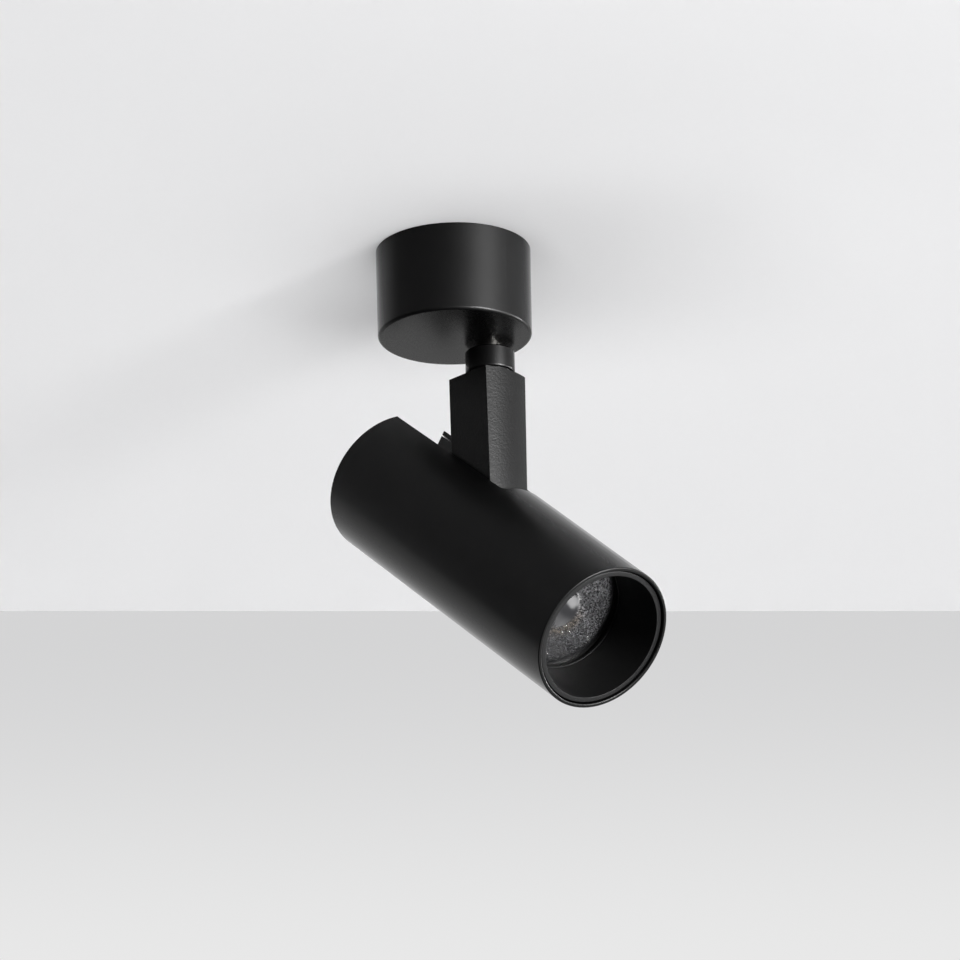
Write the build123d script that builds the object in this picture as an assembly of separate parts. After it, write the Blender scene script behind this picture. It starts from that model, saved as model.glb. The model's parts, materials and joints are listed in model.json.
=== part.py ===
from build123d import *
import os
from math import asin, cos, degrees, radians, sin, sqrt, tan

# Ceiling spotlight: a cup on the ceiling, a collar that turns under it, a bar that hangs
# from the collar, and a slotted tube that tilts on the bar. Lengths are in millimetres.
# The origin is the middle of the cup on the ceiling, +Z points up, and the tube's mouth
# points towards +X and down. Hanging straight down and turned by a quarter, the tube is
# in line with the cup and the bar fills the slot flush with the tube's skin.

# Ceiling cup
canopy_d = 62.4
canopy_h = 37.0
canopy_draft = 0.4
canopy_wall = 2.0
canopy_floor = 3.0
canopy_edge_r = 1.2

# Bracket inside the cup and its fixings
bracket_t = 1.5
bracket_skirt_h = 9.0
bracket_gap = 0.35
ceiling_screw_d = 4.5
ceiling_slot_l = 9.0
ceiling_spacing = 40.0
cable_entry_d = 12.0
cable_entry_offset = 14.0
grub_d = 3.0
grub_socket = 1.5
grub_sunk = 0.3
canopy_grub_z = 5.0
canopy_grub_angles = (100.0, 172.0)

# Mains connector and earth clamp on the bracket
block_size = (17.0, 13.0, 10.0)
block_offset = 14.0
pole_pitch = 9.4
pole_wire_d = 3.0
pole_screw_d = 2.8
pole_screw_pitch = 6.4
pole_screw_l = 3.0
pole_screw_sunk = 0.6
block_screw_d = 2.6
block_screw_head_d = 4.8
block_screw_head_h = 1.8
screw_slot_w = 0.7
screw_slot_depth = 0.7
earth_screw_d = 4.0
earth_head_d = 7.0
earth_head_h = 2.6

# LED driver on the cup's floor
driver_size = (38.0, 22.0, 16.0)
driver_offset = -5.0
driver_corner_r = 3.0
driver_wall = 1.4
driver_lid_t = 2.0
driver_port_d = 5.0

# Turning joint
neck_offset = 19.1
neck_gap = 1.8
bolt_d = 10.0
bolt_bore_d = 7.0
bolt_flange_d = 13.2
bolt_flange_t = 2.0
bolt_top_spare = 3.0
nut_across = 14.0
nut_h = 4.0
lock_washer_t = 1.0
lock_washer_d = 16.0
lock_washer_gap = 0.8
collar_d = 20.0
collar_h = 10.7
collar_top_t = 2.5
collar_wall = 1.3
collar_edge = 0.5
slide_washer_t = 0.8
slide_play = 0.03
stop_pin_d = 1.6
stop_pin_seat = 2.0
stop_tooth_w = 1.8

# Bar
arm_w = 21.85
arm_draft = 0.76
arm_back = 12.85
arm_drop = 53.4
arm_end_r = 12.9
arm_edge_r = 0.25
cable_exit_up = 17.0

# Tube
tube_d = 60.0
tube_l = 155.0
tube_wall = 1.6
tube_front_r = 0.5
tube_rear_edge = 0.35
tilt_rest = 39.7
pivot_from_rear = 60.0
slot_gap_rear = 2.15
slot_gap_front = 1.35
slot_end_gap = 3.3
slot_floor_gap = 0.8
slot_corner_r = 2.0

# Tilting joint
pivot_d = 5.0
pivot_head_d = 8.5
pivot_head_h = 2.6
pivot_socket = 3.0
pivot_nut_across = 8.0
pivot_nut_h = 3.2
pivot_thread_spare = 0.6
disc_spring_t = 0.6
bush_wall = 1.0
bush_l = 7.0
friction_washer_d = 12.0
arm_boss_h = 0.6
spot_face_depth = 0.25
washer_play = 0.03

# Heat sink
sink_gap = 0.5
fin_t = 2.8
fin_gap = 2.4
fin_pairs = 4
fin_web = 4.4
sink_cable_d = 6.0
sink_cable_over_axis = 21.0
tube_grub_from_rear = 12.0
tube_grub_from_face = 9.7
tube_grub_bite = 3.0

# Light engine
pad_t = 0.4
board_side = 19.0
board_t = 1.2
emitter_d = 11.0
emitter_t = 0.6
led_lens_gap = 0.4
led_holder_d = 35.0
led_holder_t = 3.4
led_window_d = 20.0
led_screw_offset = 14.2
led_screw_d = 3.0
led_screw_head_d = 5.0
led_screw_head_h = 1.6
led_screw_bite = 6.0

# Lens and glare shield
lens_depth = 29.7
lens_h = 25.0
lens_foot_d = 15.0
lens_cavity_d = 11.6
lens_cavity_h = 9.0
lens_bulge = 2.6
lens_flange_h = 1.8
lens_bowl_d = 17.0
lens_bowl_depth = 1.7
holder_wall = 2.4
lens_ring_w = 0.9
lens_ring_t = 1.2
lens_seat_w = 1.2
baffle_recess = 1.0
baffle_depth = 25.2
baffle_lip_w = 2.6
baffle_lip_t = 1.4
baffle_wall = 1.2
baffle_throat_w = 4.5
baffle_foot_t = 1.2
ring_section_d = 1.5
ring_band_l = 4.2
ring_squeeze = 0.05

# Clearances
slip_gap = 0.05
press_gap = 0.01
part_gap = 0.3
over = 1.0

# Places that follow from the sizes
canopy_r = canopy_d / 2
draft_slope = tan(radians(canopy_draft))
canopy_inner_r = canopy_r - canopy_wall
bracket_r = canopy_inner_r - bracket_skirt_h * draft_slope - bracket_gap
earth_z = -bracket_t - part_gap - earth_head_d / 2
cup_floor_z = canopy_floor - canopy_h
collar_top_z = -canopy_h - neck_gap
arm_top_z = collar_top_z - collar_h
collar_cavity_r = collar_d / 2 - collar_wall
flange_top_z = collar_top_z - collar_top_t - slide_washer_t - slide_play
flange_bottom_z = flange_top_z - bolt_flange_t
spigot_top_z = flange_bottom_z - slide_washer_t - 2 * slide_play
stop_pin_ring_r = (bolt_flange_d / 2 + collar_cavity_r) / 2

tube_r = tube_d / 2
tube_inner_r = tube_r - tube_wall
pivot_over_axis = tube_r - arm_end_r
pivot_x = pivot_over_axis - neck_offset
pivot_z = arm_top_z - arm_drop
arm_front = tube_r - neck_offset
arm_end_z = pivot_z - arm_end_r
arm_half_top = arm_w / 2
arm_slope = tan(radians(arm_draft))
arm_half_end = arm_half_top - (arm_top_z - arm_end_z) * arm_slope
arm_half_pivot = arm_half_top - arm_drop * arm_slope

slot_l = pivot_from_rear + arm_end_r + slot_end_gap
slot_floor = pivot_over_axis - arm_end_r - slot_floor_gap
slot_half_rear = arm_half_top + slot_gap_rear
slot_half_front = arm_half_end + slot_gap_front
slot_slope = (slot_half_rear - slot_half_front) / slot_l
sink_r = tube_inner_r - sink_gap

washer_r = friction_washer_d / 2
boss_y = arm_half_pivot + arm_boss_h
spot_face_r = washer_r + part_gap
spot_face_y = slot_half_rear - slot_slope * (pivot_from_rear - spot_face_r) + spot_face_depth
pivot_head_r = pivot_head_d / 2
head_face_y = sqrt(sink_r**2 - (pivot_over_axis + pivot_head_r) ** 2)
spring_face_y = head_face_y - pivot_head_h
seat_y = spring_face_y - disc_spring_t

lens_face_s = tube_l - lens_depth
lens_foot_s = lens_face_s - lens_h
emitter_s = lens_foot_s - led_lens_gap - emitter_t
board_s = emitter_s - board_t
sink_l = board_s - pad_t
tube_grub_places = (tube_grub_from_rear, sink_l - tube_grub_from_face)
holder_r = tube_inner_r - sink_gap
holder_inner_r = holder_r - holder_wall
lens_r = holder_inner_r - slip_gap
baffle_foot_s = tube_l - baffle_depth
baffle_face_s = tube_l - baffle_recess
baffle_r = tube_inner_r - part_gap
baffle_mouth_r = baffle_r - baffle_lip_w
baffle_throat_r = baffle_r - baffle_throat_w

# Directions of the tilted tube: along it towards the mouth, and up towards the slot
tilt = radians(tilt_rest)
tube_along = Vector(cos(tilt), 0, -sin(tilt))
tube_up = Vector(sin(tilt), 0, cos(tilt))
pivot = Vector(pivot_x, neck_offset, pivot_z)
tube_rear = pivot - tube_along * pivot_from_rear - tube_up * pivot_over_axis

# Frames that the pieces are built in: about the neck, and along the tube from its rear
# end, with local X towards the slot
neck = Pos(0, neck_offset, 0)
head = Plane(origin=tube_rear, x_dir=tube_up, z_dir=tube_along).location


def rod(radius, low, high):
    """Round bar on the Z axis between two heights."""
    return Pos(0, 0, low) * Cylinder(radius, high - low, align=(Align.CENTER, Align.CENTER, Align.MIN))


def ring(outer, inner, low, high):
    """Flat ring on the Z axis between two heights."""
    return rod(outer, low, high) - rod(inner, low - over, high + over)


def turned(*points):
    """Solid turned about the Z axis from a closed outline of radius and height."""
    return revolve(Plane.XZ * make_face(Polyline(*points, close=True)), Axis.Z)


def hexagon(across, low, high):
    """Six-sided bar on the Z axis, two of its flats facing along X."""
    outline = RegularPolygon(across / 2, 6, major_radius=False)
    return Pos(0, 0, low) * extrude(Rot(0, 0, 30) * outline, high - low)


def lying(solid, x=0.0, z=0.0):
    """Turn a solid from the Z axis to the Y axis and set it at a place in X and Z."""
    return Pos(x, 0, z) * Rot(-90, 0, 0) * solid


def outward(solid, angle, z):
    """Turn a solid from the Z axis to a level ray at an angle about the Z axis."""
    return Pos(0, 0, z) * Rot(0, 0, angle) * Rot(0, 90, 0) * solid


def group(solids):
    """Separate solids that share one node."""
    return Compound(children=list(solids))


def grub_screw(low, high):
    """Headless screw with a six-sided socket in its upper end."""
    depth = (high - low) / 2
    return rod(grub_d / 2, low, high) - hexagon(grub_socket, high - depth, high + over)


def slotted_head(radius, low, high):
    """Flat screw head with a straight driver slot in its lower face."""
    cut = Pos(0, 0, low) * Box(2 * radius + over, screw_slot_w, 2 * screw_slot_depth)
    return rod(radius, low, high) - cut


def canopy_cup():
    """Cup with slightly drawn-in sides, a rounded lower edge and the bolt's hole."""
    low_r = canopy_r - canopy_h * draft_slope
    inner_low_r = canopy_inner_r + cup_floor_z * draft_slope
    cup = turned((0, -canopy_h), (low_r, -canopy_h), (canopy_r, 0), (canopy_inner_r, 0),
                 (inner_low_r, cup_floor_z), (0, cup_floor_z))
    rim = cup.edges().filter_by(GeomType.CIRCLE).group_by(Axis.Z)[0]
    cup = fillet(rim, canopy_edge_r)
    cup -= neck * rod(bolt_d / 2 + press_gap, -canopy_h - over, cup_floor_z + over)
    for angle in canopy_grub_angles:
        cup -= outward(rod(grub_d / 2 + press_gap, 0, canopy_r + over), angle, -canopy_grub_z)
    return cup


def ceiling_bracket():
    """Dished plate with two screw slots, a cable hole and threaded holes in its skirt."""
    inner = bracket_r - bracket_t
    dish = turned((0, 0), (bracket_r, 0), (bracket_r, -bracket_skirt_h), (inner, -bracket_skirt_h),
                  (inner, -bracket_t), (0, -bracket_t))
    slot = extrude(SlotOverall(ceiling_slot_l, ceiling_screw_d), over + bracket_t, both=True)
    for side in (-1, 1):
        dish -= Pos(side * ceiling_spacing / 2, 0, 0) * slot
    dish -= Pos(0, -cable_entry_offset, 0) * rod(cable_entry_d / 2, -bracket_t - over, over)
    dish -= Pos(0, block_offset, 0) * rod(block_screw_d / 2 + press_gap, -bracket_t - over, over)
    for angle in canopy_grub_angles:
        dish -= outward(rod(grub_d / 2 + press_gap, 0, canopy_r), angle, -canopy_grub_z)
    dish -= outward(rod(earth_screw_d / 2 + press_gap, 0, canopy_r), -90, earth_z)
    return dish


def canopy_screws():
    """Grub screws that reach through the cup's side into the bracket's skirt."""
    screw = grub_screw(bracket_r - bracket_t, canopy_r - canopy_grub_z * draft_slope - grub_sunk)
    return group(outward(screw, angle, -canopy_grub_z) for angle in canopy_grub_angles)


def pole_places():
    """Places of the connector's clamping screws about its middle."""
    return [(column * pole_pitch / 2, row * pole_screw_pitch / 2) for column in (-1, 1) for row in (-1, 1)]


def terminal_block():
    """Connector body with two wire ways and a clamping screw at each end of each way."""
    width, depth, height = block_size
    body = Pos(0, 0, -bracket_t - height / 2) * Box(width, depth, height)
    for x, y in pole_places():
        body -= Pos(x, y, 0) * rod(pole_screw_d / 2 + press_gap, -bracket_t - height - over,
                                   -bracket_t - height / 2)
        body -= lying(rod(pole_wire_d / 2, -depth, depth), x, -bracket_t - height / 2)
    body -= rod(block_screw_d / 2 + press_gap, -bracket_t - height - over, over)
    body -= rod(block_screw_head_d / 2 + press_gap, -bracket_t - height - over,
                -bracket_t - height + block_screw_head_h)
    return Pos(0, block_offset, 0) * body


def terminal_screws():
    """Clamping screws of the connector."""
    low = -bracket_t - block_size[2] + pole_screw_sunk
    screw = slotted_head(pole_screw_d / 2, low, low + pole_screw_l)
    return group(Pos(x, block_offset + y, 0) * screw for x, y in pole_places())


def block_screw():
    """Screw that holds the connector to the bracket."""
    low = -bracket_t - block_size[2]
    screw = slotted_head(block_screw_head_d / 2, low, low + block_screw_head_h)
    screw += rod(block_screw_d / 2, low + block_screw_head_h - screw_slot_depth / 2, -bracket_t / 3)
    return Pos(0, block_offset, 0) * screw


def earth_screw():
    """Earth clamp screw on the inside of the bracket's skirt."""
    seat = sqrt((bracket_r - bracket_t) ** 2 - (earth_head_d / 2) ** 2)
    screw = slotted_head(earth_head_d / 2, seat - earth_head_h, seat)
    screw += rod(earth_screw_d / 2, seat - earth_head_h / 2, bracket_r)
    return outward(screw, -90, earth_z)


def driver_block(height, inset=0.0):
    """Block with rounded corners, as large as the driver less an inset."""
    width, depth, _ = driver_size
    outline = RectangleRounded(width - 2 * inset, depth - 2 * inset, driver_corner_r - inset)
    return extrude(outline, height)


def driver_case():
    """Open case of the driver, standing on the cup's floor, with a wire port at each end."""
    height = driver_size[2] - driver_lid_t
    case = driver_block(height)
    case -= Pos(0, 0, driver_wall) * driver_block(height, driver_wall)
    port = Rot(0, 90, 0) * rod(driver_port_d / 2, -driver_size[0], driver_size[0])
    case -= Pos(0, 0, height / 2) * port
    return Pos(0, driver_offset, cup_floor_z) * case


def driver_lid():
    """Lid of the driver with a rim that drops into the case."""
    height = driver_size[2] - driver_lid_t
    lid = Pos(0, 0, height) * driver_block(driver_lid_t)
    inset = driver_wall + slip_gap
    lid += Pos(0, 0, height - driver_lid_t) * driver_block(driver_lid_t, inset)
    return Pos(0, driver_offset, cup_floor_z) * lid


def swivel_bolt():
    """Hollow bolt screwed into the cup's floor, with a flange and a stop tooth below."""
    top = cup_floor_z + lock_washer_t + nut_h + bolt_top_spare
    bolt = rod(bolt_d / 2, flange_bottom_z, top)
    bolt += rod(bolt_flange_d / 2, flange_bottom_z, flange_top_z)
    reach = collar_cavity_r - part_gap
    tooth = Box(stop_tooth_w, reach, bolt_flange_t, align=(Align.CENTER, Align.MAX, Align.MIN))
    bolt += Pos(0, 0, flange_bottom_z) * tooth
    bolt -= rod(bolt_bore_d / 2, flange_bottom_z - over, top + over)
    return neck * bolt


def swivel_washer():
    """Split lock washer on the cup's floor."""
    washer = ring(lock_washer_d / 2, bolt_d / 2 + slip_gap, cup_floor_z, cup_floor_z + lock_washer_t)
    washer -= Pos(0, -lock_washer_d / 2, cup_floor_z) * Box(lock_washer_gap, lock_washer_d, 4 * lock_washer_t)
    return neck * washer


def swivel_nut():
    """Nut that clamps the bolt, a flat side towards the cup's wall."""
    low = cup_floor_z + lock_washer_t
    nut = Rot(0, 0, 90) * hexagon(nut_across, low, low + nut_h)
    return neck * (nut - rod(bolt_d / 2 + press_gap, low - over, low + nut_h + over))


def swivel_collar():
    """Round collar that runs on the bolt and screws onto the bar."""
    collar = rod(collar_d / 2, arm_top_z, collar_top_z)
    collar = chamfer(collar.edges().filter_by(GeomType.CIRCLE), collar_edge)
    collar -= rod(collar_cavity_r, arm_top_z - over, collar_top_z - collar_top_t)
    collar -= rod(bolt_d / 2 + slip_gap, arm_top_z, collar_top_z + over)
    return neck * collar


def upper_slide_washer():
    """Washer between the collar's top and the bolt's flange."""
    high = collar_top_z - collar_top_t
    return neck * ring(collar_cavity_r - part_gap, bolt_d / 2 + part_gap, high - slide_washer_t, high)


def lower_slide_washer():
    """Washer between the bolt's flange and the bar, inside the stop pin's path."""
    low = spigot_top_z
    outer = stop_pin_ring_r - stop_pin_d / 2 - part_gap
    return neck * ring(outer, bolt_bore_d / 2 + part_gap, low, low + slide_washer_t)


def stop_pin():
    """Pin that stands in the bar's top and meets the bolt's tooth at each end of the turn."""
    pin = rod(stop_pin_d / 2, spigot_top_z - stop_pin_seat, flange_top_z - part_gap)
    return neck * Pos(stop_pin_ring_r, 0, 0) * pin


def arm_bar():
    """Bar with drafted flat sides, a front as round as the tube and an end round the pivot."""
    span = arm_top_z - arm_end_z
    bar = Pos(-neck_offset, 0, 0) * rod(tube_r, arm_end_z, arm_top_z)
    flats = make_face(Polyline((-arm_half_top, arm_top_z), (arm_half_top, arm_top_z),
                               (arm_half_end, arm_end_z), (-arm_half_end, arm_end_z), close=True))
    bar &= extrude(Plane.YZ * flats, tube_d, both=True)
    shank = Pos(-arm_back, arm_top_z) * Rectangle(arm_back + arm_front + over, arm_drop,
                                                  align=(Align.MIN, Align.MAX))
    knuckle = Pos(pivot_x, pivot_z) * Circle(arm_end_r)
    behind = Pos(-arm_back, arm_top_z) * Rectangle(tube_d, 2 * span, align=Align.MAX)
    bar &= extrude(Plane.XZ * (shank + knuckle - behind), arm_w, both=True)
    bar = fillet(bar.edges().filter_by(GeomType.CIRCLE, reverse=True).filter_by(Axis.Y, reverse=True)
                 .filter_by(lambda edge: edge.length > arm_drop / 2), arm_edge_r)
    bar += rod(collar_cavity_r - press_gap, arm_top_z - over, spigot_top_z)
    bar += lying(rod(washer_r, -boss_y, boss_y), pivot_x, pivot_z)
    bar -= lying(rod(pivot_d / 2 + bush_wall + press_gap, -arm_w, arm_w), pivot_x, pivot_z)
    cable_r = bolt_bore_d / 2
    exit_z = pivot_z + cable_exit_up
    bar -= rod(cable_r, exit_z, spigot_top_z + over)
    bar -= Pos(0, 0, exit_z) * Rot(0, -90, 0) * rod(cable_r, -cable_r, arm_back + over)
    bar -= Pos(stop_pin_ring_r, 0, 0) * rod(stop_pin_d / 2 + press_gap, spigot_top_z - stop_pin_seat,
                                            spigot_top_z + over)
    return neck * bar


def pivot_bushes():
    """Bushes pressed into the bar from both sides, where the pivot bolt turns."""
    bush = ring(pivot_d / 2 + bush_wall, pivot_d / 2 + slip_gap, boss_y - bush_l, boss_y)
    sides = [bush, Rot(180, 0, 0) * bush]
    return group(neck * lying(side, pivot_x, pivot_z) for side in sides)


def slot_cutter():
    """Space of the tube's slot: wider at its open rear end, rounded at its front corners."""
    rear = slot_half_rear + slot_slope * over
    outline = make_face(Polyline((-rear, -over), (rear, -over), (slot_half_front, slot_l),
                                 (-slot_half_front, slot_l), close=True))
    outline = fillet(outline.vertices().group_by(Axis.Y)[-1], slot_corner_r)
    plane = Plane(origin=(slot_floor, 0, 0), x_dir=(0, 1, 0), z_dir=(1, 0, 0))
    return extrude(plane * outline, tube_d)


def spot_tube():
    """Tube with rounded rims and the slot."""
    rear = tube_rear_edge
    tube = turned((tube_inner_r, 0), (tube_r - rear, 0), (tube_r, rear), (tube_r, tube_l / 2),
                  (tube_inner_r, tube_l / 2))
    front = ring(tube_r, tube_inner_r, tube_l / 2, tube_l)
    front = fillet(front.edges().filter_by(GeomType.CIRCLE).group_by(Axis.Z)[-1], tube_front_r)
    tube += front
    tube -= slot_cutter()
    for place in tube_grub_places:
        tube -= side_hole(grub_d / 2 + press_gap, 0, tube_r + over, place)
    return head * tube


def side_hole(radius, low, high, place):
    """Round bar square to the tube on the side away from the bolt's head."""
    return Pos(0, 0, place) * Rot(90, 0, 0) * rod(radius, low, high)


def tube_screws():
    """Grub screws that hold the tube on the heat sink."""
    screw = grub_screw(sink_r - tube_grub_bite, tube_r - grub_sunk)
    return group(head * Pos(0, 0, place) * Rot(90, 0, 0) * screw for place in tube_grub_places)


def fin_offsets():
    """Sideways places of the gaps between the fins."""
    pitch = fin_t + fin_gap
    return [pitch * step for step in range(-fin_pairs, fin_pairs + 1)]


def heat_sink():
    """Core of the tube: slotted for the bar above, finned below, with a face for the LED."""
    sink = rod(sink_r, 0, sink_l) - slot_cutter()
    fin_top = slot_floor - fin_web
    for offset in fin_offsets():
        gap = Box(tube_d, fin_gap, slot_l, align=(Align.MAX, Align.CENTER, Align.MIN))
        sink -= Pos(fin_top, offset, -over) * gap
    bore = rod(pivot_d / 2 + press_gap, -tube_r, tube_r)
    sink -= lying(bore, pivot_over_axis, pivot_from_rear)
    sink -= lying(rod(spot_face_r, -spot_face_y, spot_face_y), pivot_over_axis, pivot_from_rear)
    pocket = rod(pivot_head_r + part_gap, seat_y, tube_r)
    sink -= lying(pocket, pivot_over_axis, pivot_from_rear)
    nut_pocket = Rot(180, 0, 0) * hexagon(pivot_nut_across + 2 * slip_gap, seat_y, tube_r)
    sink -= lying(nut_pocket, pivot_over_axis, pivot_from_rear)
    sink -= Pos(sink_cable_over_axis, 0, 0) * rod(sink_cable_d / 2, slot_l - over, sink_l + over)
    for place in tube_grub_places:
        sink -= side_hole(grub_d / 2 + press_gap, sink_r - tube_grub_bite, tube_r, place)
    for side in (-1, 1):
        hole = rod(led_screw_d / 2 + press_gap, sink_l - led_screw_bite, sink_l + over)
        sink -= Pos(0, side * led_screw_offset, 0) * hole
    return head * sink


def pivot_bolt():
    """Bolt on the tilt axis, with a six-sided socket in its head."""
    end = -seat_y - pivot_nut_h - pivot_thread_spare
    bolt = rod(pivot_d / 2, end, head_face_y) + rod(pivot_head_r, spring_face_y, head_face_y)
    bolt -= hexagon(pivot_socket, head_face_y - pivot_head_h * 2 / 3, head_face_y + over)
    return head * lying(bolt, pivot_over_axis, pivot_from_rear)


def pivot_nut():
    """Lock nut in its pocket in the heat sink."""
    nut = hexagon(pivot_nut_across, -seat_y - pivot_nut_h, -seat_y)
    nut -= rod(pivot_d / 2 + press_gap, -tube_r, 0)
    return head * lying(nut, pivot_over_axis, pivot_from_rear)


def disc_spring():
    """Spring washer under the bolt's head."""
    spring = ring(pivot_head_r, pivot_d / 2 + slip_gap, seat_y, spring_face_y)
    return head * lying(spring, pivot_over_axis, pivot_from_rear)


def friction_washers():
    """Washers that fill the gap between the bar and the heat sink on each side."""
    washer = ring(washer_r, pivot_d / 2 + slip_gap, boss_y + washer_play, spot_face_y)
    sides = [washer, Rot(180, 0, 0) * washer]
    return group(head * lying(side, pivot_over_axis, pivot_from_rear) for side in sides)


def thermal_pad():
    """Pad between the heat sink and the LED board."""
    return head * Pos(0, 0, sink_l + pad_t / 2) * Box(board_side, board_side, pad_t)


def led_board():
    """Square board that carries the light source."""
    return head * Pos(0, 0, board_s + board_t / 2) * Box(board_side, board_side, board_t)


def led_emitter():
    """Round light source."""
    return head * rod(emitter_d / 2, emitter_s, emitter_s + emitter_t)


def led_holder():
    """Ring that presses the board on the heat sink, with a window and two screw holes."""
    high = sink_l + led_holder_t
    body = ring(led_holder_d / 2, led_window_d / 2, sink_l, high)
    pocket = board_side + 2 * slip_gap
    body -= Pos(0, 0, sink_l) * Box(pocket, pocket, 2 * (pad_t + board_t))
    for side in (-1, 1):
        hole = rod(led_screw_d / 2 + press_gap, sink_l - over, high + over)
        body -= Pos(0, side * led_screw_offset, 0) * hole
    return head * body


def led_screws():
    """Screws of the LED ring."""
    high = sink_l + led_holder_t
    screw = rod(led_screw_d / 2, sink_l - led_screw_bite, high)
    cap = rod(led_screw_head_d / 2, high, high + led_screw_head_h)
    screw += cap - hexagon(led_screw_d / 2, high + led_screw_head_h / 2, high + led_screw_head_h + over)
    return group(head * Pos(0, side * led_screw_offset, 0) * screw for side in (-1, 1))


def tir_lens():
    """Collimator lens: a cavity over the light source, a bulging side and a bowl in its face."""
    foot_r = lens_foot_d / 2
    cavity_r = lens_cavity_d / 2
    neck_r = lens_r - lens_seat_w - part_gap
    flange_s = lens_face_s - lens_flange_h
    middle = Vector((foot_r + neck_r) / 2 + lens_bulge, (lens_foot_s + flange_s) / 2 - lens_bulge)
    cavity_s = lens_foot_s + lens_cavity_h
    outline = [
        Polyline((neck_r, flange_s), (lens_r, flange_s), (lens_r, lens_face_s), (0, lens_face_s),
                 (0, cavity_s), (cavity_r, cavity_s), (cavity_r, lens_foot_s), (foot_r, lens_foot_s)),
        ThreePointArc((foot_r, lens_foot_s), (middle.X, middle.Y), (neck_r, flange_s)),
    ]
    lens = revolve(Plane.XZ * make_face(outline), Axis.Z)
    bowl_r = ((lens_bowl_d / 2) ** 2 + lens_bowl_depth**2) / (2 * lens_bowl_depth)
    lens -= Pos(0, 0, lens_face_s - lens_bowl_depth + bowl_r) * Sphere(bowl_r)
    return head * lens


def lens_holder():
    """Cup wall round the lens, with the ledge that the lens sits on."""
    ledge_s = lens_face_s - lens_flange_h
    wall = ring(holder_r, holder_inner_r, sink_l, baffle_foot_s)
    ledge = ring(holder_inner_r + slip_gap, lens_r - lens_seat_w, ledge_s - lens_seat_w, ledge_s)
    return head * (wall + ledge)


def lens_ring():
    """Ring that keeps the lens on its ledge."""
    return head * ring(lens_r, lens_r - lens_ring_w, lens_face_s, lens_face_s + lens_ring_t)


def baffle():
    """Glare shield: a front lip, a tapering wall, a foot on the lens cup and a ring band."""
    lip_s = baffle_face_s - baffle_lip_t
    foot_s = baffle_foot_s + baffle_foot_t
    slope = (baffle_mouth_r - baffle_throat_r) / (baffle_face_s - baffle_foot_s)
    lip_wall_r = baffle_mouth_r - baffle_lip_t * slope + baffle_wall
    foot_wall_r = baffle_throat_r + baffle_foot_t * slope + baffle_wall
    shield = turned((baffle_throat_r, baffle_foot_s), (holder_r, baffle_foot_s), (holder_r, foot_s),
                    (foot_wall_r, foot_s), (lip_wall_r, lip_s), (baffle_r, lip_s),
                    (baffle_r, baffle_face_s), (baffle_mouth_r, baffle_face_s))
    band = ring(baffle_r, baffle_mouth_r, lip_s - ring_band_l, lip_s)
    groove = ring(tube_r, tube_inner_r - ring_section_d, lip_s - ring_band_l / 2 - ring_section_d / 2,
                  lip_s - ring_band_l / 2 + ring_section_d / 2)
    return head * (shield + (band - groove))


def baffle_o_ring():
    """Rubber ring in the shield's groove, against the tube."""
    middle_s = baffle_face_s - baffle_lip_t - ring_band_l / 2
    section_r = ring_section_d / 2 - ring_squeeze
    return head * Pos(0, 0, middle_s) * Torus(tube_inner_r - ring_section_d / 2, section_r)


pieces = (
    canopy_cup, ceiling_bracket, canopy_screws, terminal_block, terminal_screws, block_screw,
    earth_screw, driver_case, driver_lid, swivel_bolt, swivel_washer, swivel_nut,
    swivel_collar, upper_slide_washer, lower_slide_washer, stop_pin, arm_bar, pivot_bushes,
    spot_tube, heat_sink, pivot_bolt, pivot_nut, disc_spring, friction_washers, tube_screws,
    thermal_pad, led_board, led_emitter, led_holder, led_screws,
    tir_lens, lens_holder, lens_ring, baffle, baffle_o_ring,
)

os.makedirs("parts", exist_ok=True)
for piece in pieces:
    export_step(piece(), f"parts/{piece.__name__}.step")

stop_angle = degrees(asin((stop_pin_d + stop_tooth_w) / 2 / stop_pin_ring_r))
print(f"pivot {pivot_x:.2f} {neck_offset:.2f} {pivot_z:.2f}, turn limit {180 - stop_angle:.1f} degrees")
print(f"tube rear {tube_rear.X:.2f} {tube_rear.Y:.2f} {tube_rear.Z:.2f}, slot {slot_l:.2f} floor {slot_floor:.2f}")
print(f"cheek {seat_y - spot_face_y:.2f}, heat sink {sink_l:.2f}, lens radius {lens_r:.2f}")
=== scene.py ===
import json
from math import cos, pi, radians, sin, sqrt

import bpy
from bpy.props import FloatProperty, FloatVectorProperty, IntProperty, PointerProperty
from mathutils import Matrix, Vector


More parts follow.
